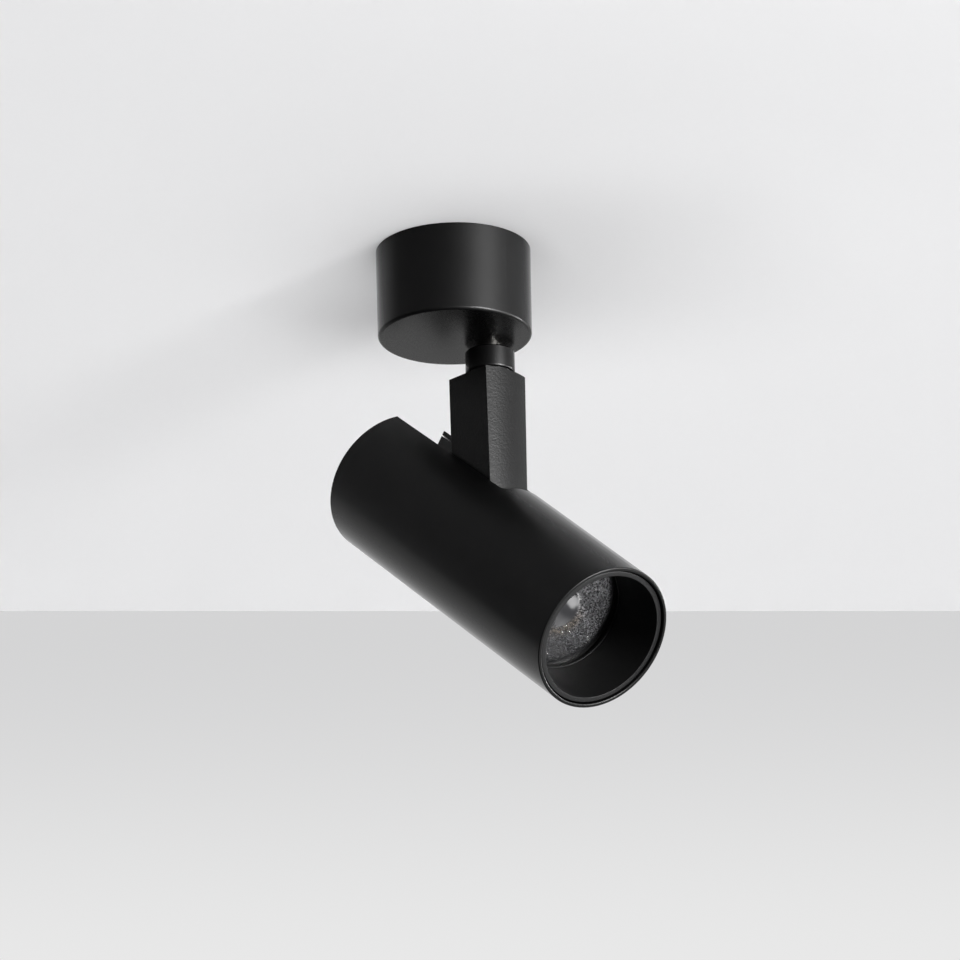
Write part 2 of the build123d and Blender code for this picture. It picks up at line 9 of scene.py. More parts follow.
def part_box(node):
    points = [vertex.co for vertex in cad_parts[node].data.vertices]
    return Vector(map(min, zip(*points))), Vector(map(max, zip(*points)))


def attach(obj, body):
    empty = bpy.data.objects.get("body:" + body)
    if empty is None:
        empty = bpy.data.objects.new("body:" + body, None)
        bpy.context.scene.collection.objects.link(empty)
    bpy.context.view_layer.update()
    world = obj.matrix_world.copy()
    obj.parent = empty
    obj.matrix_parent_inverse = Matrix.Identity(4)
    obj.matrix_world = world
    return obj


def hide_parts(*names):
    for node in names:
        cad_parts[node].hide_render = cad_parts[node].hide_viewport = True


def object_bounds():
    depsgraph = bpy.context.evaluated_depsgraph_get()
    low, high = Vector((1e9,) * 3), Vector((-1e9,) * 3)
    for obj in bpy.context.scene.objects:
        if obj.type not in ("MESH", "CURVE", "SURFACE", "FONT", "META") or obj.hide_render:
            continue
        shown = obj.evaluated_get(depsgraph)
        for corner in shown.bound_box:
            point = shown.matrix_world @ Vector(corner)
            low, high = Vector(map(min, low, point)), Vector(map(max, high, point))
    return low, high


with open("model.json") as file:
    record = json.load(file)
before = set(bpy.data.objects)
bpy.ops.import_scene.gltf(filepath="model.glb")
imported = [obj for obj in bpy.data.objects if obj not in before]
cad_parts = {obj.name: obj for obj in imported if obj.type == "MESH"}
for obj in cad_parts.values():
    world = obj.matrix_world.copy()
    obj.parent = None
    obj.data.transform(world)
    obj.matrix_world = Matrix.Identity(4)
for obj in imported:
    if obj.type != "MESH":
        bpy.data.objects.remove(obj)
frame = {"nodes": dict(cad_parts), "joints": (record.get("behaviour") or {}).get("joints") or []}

bl_info = {
    "name": "Ceiling spotlight",
    "version": (1, 0, 0),
    "blender": (4, 5, 0),
    "location": "View3D > Sidebar > Spotlight",
    "description": "Finishes, pebbled lens and photo stage of a black ceiling spotlight",
    "category": "Object",
}

MM = 0.001

# Places that the frame gives: the neck's axis, the tilt pivot, and the tube's direction.
# The tube lies level at the lower end of its tilt, so that limit tells how far it is tilted.
cad_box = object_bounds()
joints = {joint["name"]: joint for joint in frame["joints"]}
tube_fall = radians(-joints["tilt"]["range_deg"][0])
tube_along = Vector((cos(tube_fall), 0.0, -sin(tube_fall)))
tube_up = Vector((sin(tube_fall), 0.0, cos(tube_fall)))
ring_low, ring_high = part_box("lens_ring")

# Frames of the part. The third axis is upright at the neck and lies along the bolt at the pivot.
# In the tube's frame the first axis points to the slot and the third to the mouth.
neck_frame = Matrix.Translation(joints["pan"]["pos_m"])
pivot_frame = Matrix.Translation(joints["tilt"]["pos_m"]) @ Matrix.Rotation(radians(-90), 4, "X")
tube_turn = Matrix((tube_up, tube_along.cross(tube_up), tube_along)).transposed()
tube_frame = Matrix.Translation((ring_low + ring_high) / 2) @ tube_turn.to_4x4()


# Sizes and colours that a user would change

def length_mm(name, description, millimetres):
    """Property of a length, its default given in millimetres."""
    return FloatProperty(
        name=name, description=description, unit="LENGTH", precision=6, default=millimetres * MM)


def angle_deg(name, description, degrees):
    """Property of an angle, its default given in degrees."""
    return FloatProperty(name=name, description=description, subtype="ANGLE", default=radians(degrees))


def factor_setting(name, description, default):
    """Property of a share from 0 to 1."""
    return FloatProperty(
        name=name, description=description, subtype="FACTOR", min=0.0, max=1.0, default=default)


def level_setting(name, description, default):
    """Property of a brightness, where 1 is white."""
    return FloatProperty(name=name, description=description, min=0.0, default=default)


def colour_setting(name, description, default):
    """Property of a colour."""
    return FloatVectorProperty(
        name=name, description=description, subtype="COLOR", size=3, min=0.0, max=1.0, default=default)


def count_setting(name, description, default, least):
    """Property of a number of mesh rings or points."""
    return IntProperty(name=name, description=description, min=least, default=default)


class CoatSettings(bpy.types.PropertyGroup):
    """Black coat of the cup, collar, bar and tube."""

    black: colour_setting("Black", "Colour of the powder coat", (0.0008, 0.0008, 0.0009))
    roughness: factor_setting("Roughness", "Satin of the cup, bar and tube", 0.44)
    collar_roughness: factor_setting("Collar roughness", "Satin of the collar", 0.38)
    grain: length_mm("Grain", "Pitch of the smooth coat's grain", 0.55)
    relief: length_mm("Relief", "Height of the smooth coat's grain", 0.004)
    bar_grain: length_mm("Bar grain", "Pitch of the bar's coarser grain", 0.75)
    bar_relief: length_mm("Bar relief", "Height of the bar's coarser grain", 0.15)


class LensSettings(bpy.types.PropertyGroup):
    """Clear collimator lens with a pebbled face."""

    radius: length_mm("Radius", "Radius of the lens and its flange", 25.45)
    depth: length_mm("Depth", "Length of the lens from face to foot", 25.0)
    setback: length_mm("Setback", "Depth of the face behind the middle of the lens's ring", 0.6)
    flange: length_mm("Flange", "Thickness of the flange", 1.8)
    neck_radius: length_mm("Neck radius", "Radius just behind the flange", 23.95)
    foot_radius: length_mm("Foot radius", "Radius of the foot round the light source", 7.5)
    bulge: length_mm("Bulge", "How far the side swells past a straight cone", 2.6 * sqrt(2))
    cavity_radius: length_mm("Cavity radius", "Radius of the hollow over the light source", 5.8)
    cavity_depth: length_mm("Cavity depth", "Depth of the hollow over the light source", 9.0)
    bowl_radius: length_mm("Bowl radius", "Radius of the smooth bowl in the face", 8.5)
    bowl_depth: length_mm("Bowl depth", "Depth of the smooth bowl in the face", 1.7)
    brim_height: length_mm("Brim height", "Height of the rounded brim round the bowl", 0.08)
    brim_width: length_mm("Brim width", "Width of the rounded brim round the bowl", 3.2)
    pebble_pitch: length_mm("Pebble pitch", "Distance between pebbles", 0.72)
    pebble_height: length_mm("Pebble height", "Height of a pebble over its valleys", 0.24)
    pebble_margin: length_mm("Pebble margin", "Plain band at the bowl and at the rim", 0.9)
    # The glint patches are painted: pebbles of lighter and darker colour that stand in for glints.
    painted_glint_pitch: length_mm("Glint pitch", "Size of the patches that catch more or less light", 0.44)
    bowl_rings: count_setting("Bowl rings", "Mesh rings across the bowl", 30, 8)
    face_rings: count_setting("Face rings", "Mesh rings across the pebbled face", 120, 8)
    side_steps: count_setting("Side steps", "Mesh steps along the swelling side", 12, 4)


class ShieldSettings(bpy.types.PropertyGroup):
    """Glare shield in the mouth. Its heights count from the middle of the lens's ring."""

    mouth_radius: length_mm("Mouth radius", "Radius of the opening", 26.0)
    throat_radius: length_mm("Throat radius", "Radius of the inner end", 23.6)
    lip_radius: length_mm("Lip radius", "Outer radius of the front lip", 28.1)
    lip_thickness: length_mm("Lip thickness", "Thickness of the front lip", 1.4)
    lip_edge: length_mm("Lip edge", "Rounding of the lip's outer edge", 0.55)
    foot_radius: length_mm("Foot radius", "Outer radius of the foot", 27.9)
    foot_thickness: length_mm("Foot thickness", "Thickness of the foot", 1.2)
    wall: length_mm("Wall", "Thickness of the tapering wall", 1.2)
    foot_height: length_mm("Foot height", "Height of the inner end", 3.9)
    face_height: length_mm("Face height", "Height of the front face", 28.1)
    ledge: length_mm("Ledge", "Width of the ledge at the throat", 0.45)
    ledge_height: length_mm("Ledge height", "Height of the ledge over the foot", 0.6)
    band: length_mm("Band", "Length of the band behind the lip", 4.2)
    groove: length_mm("Groove", "Width of the rubber ring's groove", 1.5)
    groove_radius: length_mm("Groove radius", "Radius at the bottom of the groove", 26.9)
    edge: length_mm("Edge", "Rounding of the other edges that show", 0.14)
    turns: count_setting("Turns", "Mesh points round the shield", 192, 24)


class CollarSettings(bpy.types.PropertyGroup):
    """Collar between the cup and the bar."""

    radius: length_mm("Radius", "Outer radius", 10.0)
    height: length_mm("Height", "Height from the bar to the top", 10.7)
    top_edge: length_mm("Top edge", "Slope at the top edge", 0.5)
    top_thickness: length_mm("Top thickness", "Thickness over the hollow", 2.5)
    foot_edge: length_mm("Foot edge", "Rounding of the lower edge", 0.9)
    foot_height: length_mm("Foot height", "Height of the set-back foot", 1.4)
    foot_radius: length_mm("Foot radius", "Radius of the set-back foot", 8.95)
    cavity_radius: length_mm("Cavity radius", "Radius of the hollow", 8.7)
    bore_radius: length_mm("Bore radius", "Radius of the bolt's hole", 5.05)
    turns: count_setting("Turns", "Mesh points round the collar", 128, 24)


class StageSettings(bpy.types.PropertyGroup):
    """Ceiling board, backdrop, lights and camera. Turns count round the lamp from its near side."""

    ceiling: colour_setting("Ceiling", "Colour of the ceiling board", (0.86, 0.86, 0.87))
    wall_high: colour_setting("Wall high", "Colour of the backdrop at the ceiling", (0.66, 0.66, 0.665))
    wall_low: colour_setting("Wall low", "Colour of the backdrop further down", (0.81, 0.81, 0.81))
    room_seen: level_setting("Room seen", "Brightness of the room where the camera sees it", 0.78)
    room_side: level_setting("Room side", "Brightness of the room on its bright side", 2.0)
    room_above: level_setting("Room above", "Brightness above the ceiling board", 0.7)
    room_turn: angle_deg("Room turn", "Direction of the room's bright side", 118)
    lamp_distance: length_mm("Lamp distance", "Distance of every lamp but the fill lamp", 1400)
    fill_distance: length_mm("Fill distance", "Distance of the fill lamp", 1600)
    key_level: level_setting("Key level", "Light of the key lamp on a white card", 0.68)
    key_turn: angle_deg("Key turn", "Direction of the key lamp", 86)
    key_rise: angle_deg("Key rise", "Height angle of the key lamp", -3.5)
    sheen_level: level_setting("Sheen level", "Light of the sheen lamp, seen in gloss alone", 9.6)
    sheen_turn: angle_deg("Sheen turn", "Direction of the sheen lamp", 94)
    sheen_rise: angle_deg("Sheen rise", "Height angle of the sheen lamp", -2.5)
    rim_level: level_setting("Rim level", "Light of the rim lamp, seen in gloss alone", 2.3)
    rim_turn: angle_deg("Rim turn", "Direction of the rim lamp", 150)
    rim_rise: angle_deg("Rim rise", "Height angle of the rim lamp", -5)
    glint_level: level_setting("Glint level", "Light of the glint lamp, seen in gloss alone", 0.42)
    glint_turn: angle_deg("Glint turn", "Direction of the glint lamp", 124)
    glint_rise: angle_deg("Glint rise", "Height angle of the glint lamp", -61)
    fill_level: level_setting("Fill level", "Light of the fill lamp on a white card", 0.69)
    fill_turn: angle_deg("Fill turn", "Direction of the fill lamp", 40)
    fill_rise: angle_deg("Fill rise", "Height angle of the fill lamp", -78)
    camera_turn: angle_deg("Camera turn", "Direction of the camera", 46.51)
    camera_rise: angle_deg("Camera rise", "Height angle of the camera", -20.439)
    camera_roll: angle_deg("Camera roll", "Turn about the line of sight", -1.337)
    camera_distance: length_mm("Camera distance", "Camera's distance from the aim", 2708.3)
    camera_lens: FloatProperty(
        name="Camera lens", description="Focal length in millimetres", unit="CAMERA", default=255.0)
    aim_height: length_mm("Aim height", "Height of the point in the picture's middle", -98.36)
    aim_aside: length_mm("Aim aside", "Sideways place of the point in the picture's middle", 8.71)


# Nodes of finishes, of the lens's face and of the room

class Value:
    """A number that varies over a surface. Arithmetic on it adds Math nodes."""

    def __init__(self, nodes, socket):
        self.nodes = nodes
        self.socket = socket

    def __add__(self, other):
        return self.nodes.math("ADD", self, other)

    def __sub__(self, other):
        return self.nodes.math("SUBTRACT", self, other)

    def __rsub__(self, other):
        return self.nodes.math("SUBTRACT", other, self)

    def __mul__(self, other):
        return self.nodes.math("MULTIPLY", self, other)

    def __truediv__(self, other):
        return self.nodes.math("DIVIDE", self, other)

    def __rtruediv__(self, other):
        return self.nodes.math("DIVIDE", other, self)

    __radd__ = __add__
    __rmul__ = __mul__


class Nodes:
    """A node tree that is built up node by node."""

    def __init__(self, tree):
        self.tree = tree

    def node(self, kind, settings=None, sockets=None, output=0):
        """Add a node, set it up, feed its sockets and give back one of its outputs."""
        node = self.tree.nodes.new(kind)
        for name, setting in (settings or {}).items():
            setattr(node, name, setting)
        for name, value in (sockets or {}).items():
            self.feed(node.inputs[name], value)
        return Value(self, node.outputs[output])

    def feed(self, socket, value):
        """Link a value to a socket, or set a plain number or colour on it."""
        if isinstance(value, Value):
            self.tree.links.new(value.socket, socket)
        else:
            socket.default_value = value

    def math(self, operation, first, second=0.0):
        """A Math node on two numbers."""
        return self.node("ShaderNodeMath", {"operation": operation}, {0: first, 1: second})

    def dot(self, first, second):
        """How far a direction runs along another."""
        sockets = {0: first, 1: second}
        return self.node("ShaderNodeVectorMath", {"operation": "DOT_PRODUCT"}, sockets, "Value")

    def blend(self, first, second, share):
        """A colour between two colours."""
        sockets = {0: share, 6: opaque(first), 7: opaque(second)}
        return self.node("ShaderNodeMix", {"data_type": "RGBA"}, sockets, 2)

    def noise(self, place, size, detail=2.0):
        """Cloudy noise whose clouds are about one size wide."""
        return self.node("ShaderNodeTexNoise", None, {"Vector": place, "Scale": 1 / size, "Detail": detail})

    def cells(self, place, size, output="Distance"):
        """Cells about one size wide."""
        return self.node("ShaderNodeTexVoronoi", None, {"Vector": place, "Scale": 1 / size}, output)

    def ramp(self, value, low, high, to_low=0.0, to_high=1.0):
        """A number that rises softly between two marks."""
        sockets = {"Value": value, "From Min": low, "From Max": high, "To Min": to_low, "To Max": to_high}
        return self.node("ShaderNodeMapRange", {"interpolation_type": "SMOOTHSTEP"}, sockets)

    def axes(self, place):
        """The three numbers of a place."""
        parts = self.node("ShaderNodeSeparateXYZ", None, {"Vector": place}).socket.node
        return [Value(self, socket) for socket in parts.outputs]

    def distance(self, first, second):
        """Distance from an axis, from the two numbers across it."""
        return self.math("SQRT", first * first + second * second)


class Finish(Nodes):
    """A material with a procedural surface."""

    def __init__(self, name, **constants):
        self.material = bpy.data.materials.new(name)
        self.material.use_nodes = True
        super().__init__(self.material.node_tree)
        self.surface = self.tree.nodes["Principled BSDF"]
        self.set(constants)
        self.place = self.node("ShaderNodeTexCoord", output="Object")

    def set(self, values):
        """Set or link inputs of the surface, named with underscores."""
        for name, value in values.items():
            self.feed(self.surface.inputs[name.replace("_", " ")], value)

    def bump(self, height, relief):
        """Raise the surface by a height between 0 and 1, of a relief in metres."""
        self.set({"Normal": self.node("ShaderNodeBump", None, {"Height": height, "Distance": relief})})

    def framed(self, matrix):
        """Object coordinates turned into a frame of the part."""
        sockets = {"Vector": self.place, "Location": matrix.translation, "Rotation": matrix.to_euler()}
        return self.node("ShaderNodeMapping", {"vector_type": "TEXTURE"}, sockets)

    def drawn_out(self, place, scale):
        """A place scaled along its axes, so that a texture is drawn out along the weaker ones."""
        return self.node("ShaderNodeMapping", None, {"Vector": place, "Scale": scale})

    def tones(self, colour, dark, light, share):
        """A colour that varies between a darker and a lighter tone."""
        return self.blend(shade(colour, dark), shade(colour, light), share)


def opaque(colour):
    """A colour with its alpha, unless it is already a node's colour."""
    return colour if isinstance(colour, Value) else (*colour, 1.0)


def shade(colour, factor):
    """A colour made darker or lighter."""
    return [part * factor for part in colour]


# Finishes

# The black coat's shine is weak straight on. Aslant it is smoother, and a film adds to it.
coat_shine = 0.085
coat_cloud = 26 * MM
smooth_span = (0.35, 0.85)
smooth_gain = 0.28
film_span = (0.34, 0.53)
film_weight = 0.18
film_roughness = 0.22


def powder_coat(name, colour, roughness, grain, relief):
    """Satin powder coat: a skin like orange peel, faint clouds in its gloss, and glossier aslant."""
    finish = Finish(name, IOR=1.5, Specular_IOR_Level=coat_shine, Coat_Roughness=film_roughness)
    peel = finish.noise(finish.place, grain, 3.0)
    swell = finish.noise(finish.place, grain * 3.3, 1.0)
    cloud = finish.noise(finish.place, coat_cloud, 3.0)
    speck = finish.cells(finish.place, grain * 1.7)
    aslant = finish.node("ShaderNodeLayerWeight", None, {"Blend": 0.5}, "Facing")
    gloss = finish.ramp(aslant, *smooth_span, 0.0, smooth_gain)
    finish.set({
        "Base_Color": finish.tones(colour, 0.72, 1.28, 0.6 * cloud + 0.4 * peel),
        "Roughness": roughness - gloss + 0.10 * (cloud - 0.5) + 0.12 * (peel - 0.5),
        "Coat_Weight": finish.ramp(aslant, *film_span, 0.0, film_weight),
    })
    finish.bump(0.55 * peel + 0.25 * swell + 0.20 * speck, relief)
    return finish.material


def turned_metal(name, colour, roughness, matrix):
    """Bright metal from a lathe, with fine rings about its axis."""
    ring_pitch = 0.12 * MM
    ring_relief = 0.004 * MM
    cloud_size = 4 * MM
    finish = Finish(name, Metallic=1.0)
    x, y, z = finish.axes(finish.framed(matrix))
    lathe = finish.node("ShaderNodeCombineXYZ", None, {"X": finish.distance(x, y), "Y": z})
    rings = finish.noise(lathe, ring_pitch)
    cloud = finish.noise(finish.place, cloud_size, 3.0)
    finish.set({
        "Base_Color": finish.tones(colour, 0.78, 1.12, 0.5 * rings + 0.5 * cloud),
        "Roughness": roughness + 0.14 * (rings - 0.5) + 0.10 * (cloud - 0.5),
    })
    finish.bump(rings, ring_relief)
    return finish.material


def plated_sheet(name, colour, roughness):
    """Plated steel: pale crystals under a cloudy film, and fine scratches."""
    crystal_size = 1.6 * MM
    film_size = 7 * MM
    scratch_size = 3 * MM
    scratch_depth = 0.004 * MM
    finish = Finish(name, Metallic=1.0)
    crystal = finish.cells(finish.place, crystal_size, "Color")
    spangle = finish.node("ShaderNodeSeparateColor", None, {"Color": crystal})
    film = finish.noise(finish.place, film_size, 4.0)
    scratch = finish.noise(finish.drawn_out(finish.place, (1.0, 14.0, 14.0)), scratch_size, 3.0)
    finish.set({
        "Base_Color": finish.tones(colour, 0.74, 1.16, 0.35 * spangle + 0.45 * film + 0.20 * scratch),
        "Roughness": roughness + 0.18 * (film - 0.5) + 0.10 * (spangle - 0.5),
    })
    finish.bump(0.7 * scratch + 0.3 * film, scratch_depth)
    return finish.material


def blackened_steel(name, colour, roughness):
    """Oiled black steel with worn, paler spots."""
    film_size = 1.8 * MM
    film_relief = 0.006 * MM
    spot_size = 0.5 * MM
    finish = Finish(name, Metallic=0.85)
    film = finish.noise(finish.place, film_size, 4.0)
    worn = finish.ramp(finish.noise(finish.place, spot_size, 3.0), 0.58, 0.74)
    finish.set({
        "Base_Color": finish.tones(colour, 0.8, 2.2, worn * film),
        "Roughness": roughness + 0.16 * (film - 0.5),
    })
    finish.bump(film, film_relief)
    return finish.material


def moulded(name, colour, roughness, grain=0.35 * MM, relief=0.010 * MM, sheen=0.4):
    """Moulded plastic or rubber with a fine spark-eroded skin and faint flow marks."""
    flow_size = 9 * MM
    finish = Finish(name, IOR=1.49, Specular_IOR_Level=sheen)
    skin = finish.noise(finish.place, grain, 4.0)
    pit = finish.cells(finish.place, grain * 1.4)
    flow = finish.noise(finish.place, flow_size)
    finish.set({
        "Base_Color": finish.tones(colour, 0.88, 1.12, 0.5 * flow + 0.5 * skin),
        "Roughness": roughness + 0.12 * (skin - 0.5) + 0.08 * (flow - 0.5),
    })
    finish.bump(0.6 * skin + 0.4 * pit, relief)
    return finish.material


def shield_skin(name, face_height):
    """Dull black plastic of the glare shield: much darker inside as painted shade, and paler on its front
    lip as painted light.
    """
    skin_grain = 0.45 * MM
    skin_relief = 0.010 * MM
    pale_from = face_height - 0.30 * MM
    pale_to = face_height - 0.05 * MM
    finish = Finish(name, IOR=1.49, Specular_IOR_Level=0.10)
    _, _, height = finish.axes(finish.framed(tube_frame))
    skin = finish.noise(finish.place, skin_grain, 4.0)
    # Painted shade: the same plastic is much darker inside the shield, and paler on the front lip where
    # light falls on it.
    painted_shade_inside = finish.blend((0.0004, 0.0004, 0.0005), (0.0012, 0.0012, 0.0013), skin)
    lip = finish.blend((0.0034, 0.0034, 0.0036), (0.0066, 0.0066, 0.007), skin)
    finish.set({
        "Base_Color": finish.blend(painted_shade_inside, lip, finish.ramp(height, pale_from, pale_to)),
        "Roughness": 0.50 + 0.12 * (skin - 0.5),
    })
    finish.bump(skin, skin_relief)
    return finish.material


def extruded_black(name, colour, roughness):
    """Black anodised extrusion with die lines along the tube and a saw's marks on its ends."""
    line_pitch = 0.22 * MM
    line_depth = 0.008 * MM
    cloud_size = 12 * MM
    finish = Finish(name, IOR=1.5, Specular_IOR_Level=0.12)
    lines = finish.noise(finish.drawn_out(finish.framed(tube_frame), (1.0, 1.0, 0.02)), line_pitch, 3.0)
    cloud = finish.noise(finish.place, cloud_size, 3.0)
    finish.set({
        "Base_Color": finish.tones(colour, 0.7, 1.3, 0.6 * lines + 0.4 * cloud),
        "Roughness": roughness + 0.16 * (lines - 0.5) + 0.08 * (cloud - 0.5),
    })
    finish.bump(lines, line_depth)
    return finish.material


def phosphor_gel(name):
    """Yellow phosphor in clear gel: grains over a grid of chips, inside a pale dam."""
    grain_size = 0.12 * MM
    half_pitch = 0.45 * MM
    chip_gap = (0.08 * MM, 0.16 * MM)
    dam_radius = (4.6 * MM, 4.8 * MM)
    relief = 0.02 * MM
    finish = Finish(name, Roughness=0.28, IOR=1.41)
    x, y, _ = finish.axes(finish.framed(tube_frame))
    grains = finish.noise(finish.place, grain_size, 3.0)
    across = finish.math("PINGPONG", x, half_pitch)
    along = finish.math("PINGPONG", y, half_pitch)
    chips = finish.ramp(finish.math("MINIMUM", across, along), *chip_gap)
    dam = finish.ramp(finish.distance(x, y), *dam_radius)
    gel = finish.blend((0.56, 0.33, 0.06), (0.78, 0.52, 0.14), 0.5 * grains + 0.5 * chips)
    finish.set({"Base_Color": finish.blend(gel, (0.86, 0.84, 0.78), dam)})
    finish.bump(0.6 * grains + 0.8 * dam, relief)
    return finish.material


def board_mask(name):
    """White solder mask on an aluminium board, with bare pads at two corners."""
    fibre_size = 0.3 * MM
    fibre_relief = 0.004 * MM
    pad_edge = (13.2 * MM, 13.5 * MM)
    finish = Finish(name)
    x, y, _ = finish.axes(finish.framed(tube_frame))
    fibre = finish.noise(finish.place, fibre_size, 3.0)
    bare = finish.ramp(finish.math("ABSOLUTE", x + y), *pad_edge)
    finish.set({
        "Base_Color": finish.blend((0.78, 0.78, 0.76), (0.70, 0.66, 0.60), 0.85 * bare + 0.15 * fibre),
        "Metallic": bare,
        "Roughness": 0.45 - 0.15 * bare + 0.1 * (fibre - 0.5),
    })
    finish.bump(fibre, fibre_relief)
    return finish.material


def woven_pad(name, colour):
    """Silicone pad on glass cloth: the weave shows as small checks."""
    thread = 0.45 * MM
    thread_relief = 0.02 * MM
    cloud_size = 2 * MM
    finish = Finish(name, Roughness=0.72)
    x, y, _ = finish.axes(finish.framed(tube_frame))
    warp = finish.math("PINGPONG", x, thread)
    weft = finish.math("PINGPONG", y, thread)
    weave = (warp + weft) / (2 * thread)
    cloud = finish.noise(finish.place, cloud_size, 3.0)
    finish.set({"Base_Color": finish.tones(colour, 0.75, 1.2, 0.6 * weave + 0.4 * cloud)})
    finish.bump(weave, thread_relief)
    return finish.material


def clear_lens(name, lens):
    """Moulded plastic: a clear bowl, painted glints on the pebbles that grow brighter towards the top, a
    painted warm tint of the phosphor under the bowl, and painted shade at the dark edge.
    """
    haze_size = 3 * MM
    bowl = lens.bowl_radius
    finish = Finish(name, Transmission_Weight=0.35, IOR=1.49)
    framed = finish.framed(tube_frame)
    up, aside, _ = finish.axes(framed)
    out = finish.distance(up, aside)
    # Painted glints: each patch of pebbles gets a lighter or darker colour, squared, and made brighter
    # towards the top of the lens as painted light.
    glint = finish.node("ShaderNodeSeparateColor", None, {
        "Color": finish.cells(framed, lens.painted_glint_pitch, "Color")})
    glint = glint * glint * (1 + 1.2 / lens.radius * up)
    pebbled = finish.ramp(out, bowl - lens.pebble_margin, bowl + 2 * lens.pebble_margin)
    # Painted light: a warm tint of the phosphor seen through the lens, in a ring round the bowl and on its
    # lower side only.
    painted_phosphor_tint = finish.ramp(out, 0.7 * bowl, 1.1 * bowl) * (1 - finish.ramp(out, 1.1 * bowl, 1.7 * bowl))
    painted_phosphor_tint = painted_phosphor_tint * (1 - finish.ramp(up, -0.6 * bowl, 0.5 * bowl))
    # Painted shade: the lens darkens to near black at its rim, where it sits in the black holder.
    edge = finish.ramp(out, 0.84 * lens.radius, 0.97 * lens.radius)
    haze = finish.noise(finish.place, haze_size, 3.0)
    clear = finish.blend((0.07, 0.07, 0.075), (0.03, 0.03, 0.032), pebbled)
    bright = finish.blend((0.43, 0.43, 0.45), (0.42, 0.34, 0.26), painted_phosphor_tint)
    painted_glint_tone = finish.blend(clear, bright, pebbled * glint)
    finish.set({
        "Base_Color": finish.blend(painted_glint_tone, (0.01, 0.01, 0.011), edge),
        "Roughness": 0.14 - 0.10 * pebbled + 0.06 * haze,
    })
    return finish.material


def black_finishes(coat):
    """Coats of the cup, the tube and the bar."""
    black, satin = coat.black, coat.roughness
    return {
        "canopy_black": powder_coat("canopy_black_coat", black, satin, coat.grain, coat.relief),
        "tube_black": powder_coat("tube_black_coat", black, satin, coat.grain, coat.relief),
        "arm_black": powder_coat("bar_black_coat", black, satin, coat.bar_grain, coat.bar_relief),
    }


def metal_finishes():
    """Plain metals of bolts, screws, springs, bushes and the bracket."""
    return {
        "nickel_plate": turned_metal("nickel_lathe", (0.085, 0.083, 0.079), 0.32, neck_frame),
        "zinc_steel": plated_sheet("zinc_plate", (0.58, 0.59, 0.60), 0.38),
        "black_steel": blackened_steel("black_oxide", (0.035, 0.035, 0.037), 0.38),
        "spring_steel": turned_metal("spring_lathe", (0.36, 0.35, 0.34), 0.34, pivot_frame),
        "bush_bronze": turned_metal("bronze_lathe", (0.55, 0.34, 0.14), 0.40, pivot_frame),
        "screw_brass": turned_metal("brass_lathe", (0.72, 0.52, 0.22), 0.30, neck_frame),
    }


def moulded_finishes():
    """Plastics and rubber."""
    return {
        "slide_polymer": moulded("slide_skin", (0.32, 0.30, 0.26), 0.46),
        "block_white": moulded("connector_skin", (0.74, 0.74, 0.72), 0.42),
        "driver_white": moulded("driver_skin", (0.70, 0.70, 0.69), 0.48),
        "holder_white": moulded("light_ring_skin", (0.76, 0.76, 0.74), 0.50),
        "holder_black": moulded("lens_cup_skin", (0.002, 0.002, 0.002), 0.55, sheen=0.10),
        "ring_rubber": moulded("rubber_skin", (0.012, 0.012, 0.012), 0.72, 0.5 * MM, 0.02 * MM),
    }


def light_engine_finishes():
    """Heat sink, pad, board and light source."""
    return {
        "sink_black": extruded_black("sink_anodised", (0.006, 0.006, 0.0065), 0.42),
        "pad_grey": woven_pad("pad_weave", (0.30, 0.31, 0.33)),
        "board_metal": board_mask("board_white_mask"),
        "phosphor": phosphor_gel("phosphor_gel"),
    }


def dress(finishes):
    """Give each node of the frame the finish of its slot."""
    for node in frame["nodes"].values():
        for slot in node.material_slots:
            if slot.material and slot.material.name in finishes:
                slot.material = finishes[slot.material.name]


def placed(name, mesh, matrix, sharp):
    """Piece of a mesh in a frame of the part, smooth but for edges sharper than an angle."""
    mesh.name = name
    mesh.transform(matrix)
    for polygon in mesh.polygons:
        polygon.use_smooth = True
    mesh.set_sharp_from_angle(angle=sharp)
    piece = bpy.data.objects.new(name, mesh)
    bpy.context.scene.collection.objects.link(piece)
    return piece


# Lens

def lens_rings(lens):
    """Radius and height of each ring of the lens, from the middle of its face round to its cavity."""
    ball = (lens.bowl_radius ** 2 + lens.bowl_depth ** 2) / (2 * lens.bowl_depth)
    face = []
    for step in range(1, lens.bowl_rings + 1):
        radius = lens.bowl_radius * step / lens.bowl_rings
        face.append((radius, ball - lens.bowl_depth - sqrt(ball ** 2 - radius ** 2)))
    for step in range(1, lens.face_rings + 1):
        radius = lens.bowl_radius + (lens.radius - lens.bowl_radius) * step / lens.face_rings
        across = min((radius - lens.bowl_radius) / lens.brim_width, 1.0)
        face.append((radius, lens.brim_height * sin(pi * across) ** 2))
    side = [(lens.radius, -lens.flange)]
    start = Vector((lens.neck_radius, -lens.flange))
    end = Vector((lens.foot_radius, -lens.depth))
    out = Vector((start.y - end.y, end.x - start.x)).normalized() * lens.bulge
    for step in range(lens.side_steps + 1):
        share = step / lens.side_steps
        place = start.lerp(end, share) + out * 4 * share * (1 - share)
        side.append((place.x, place.y))
    floor = lens.cavity_depth - lens.depth
    side += [(lens.cavity_radius, -lens.depth), (lens.cavity_radius, floor)]
    return face, side


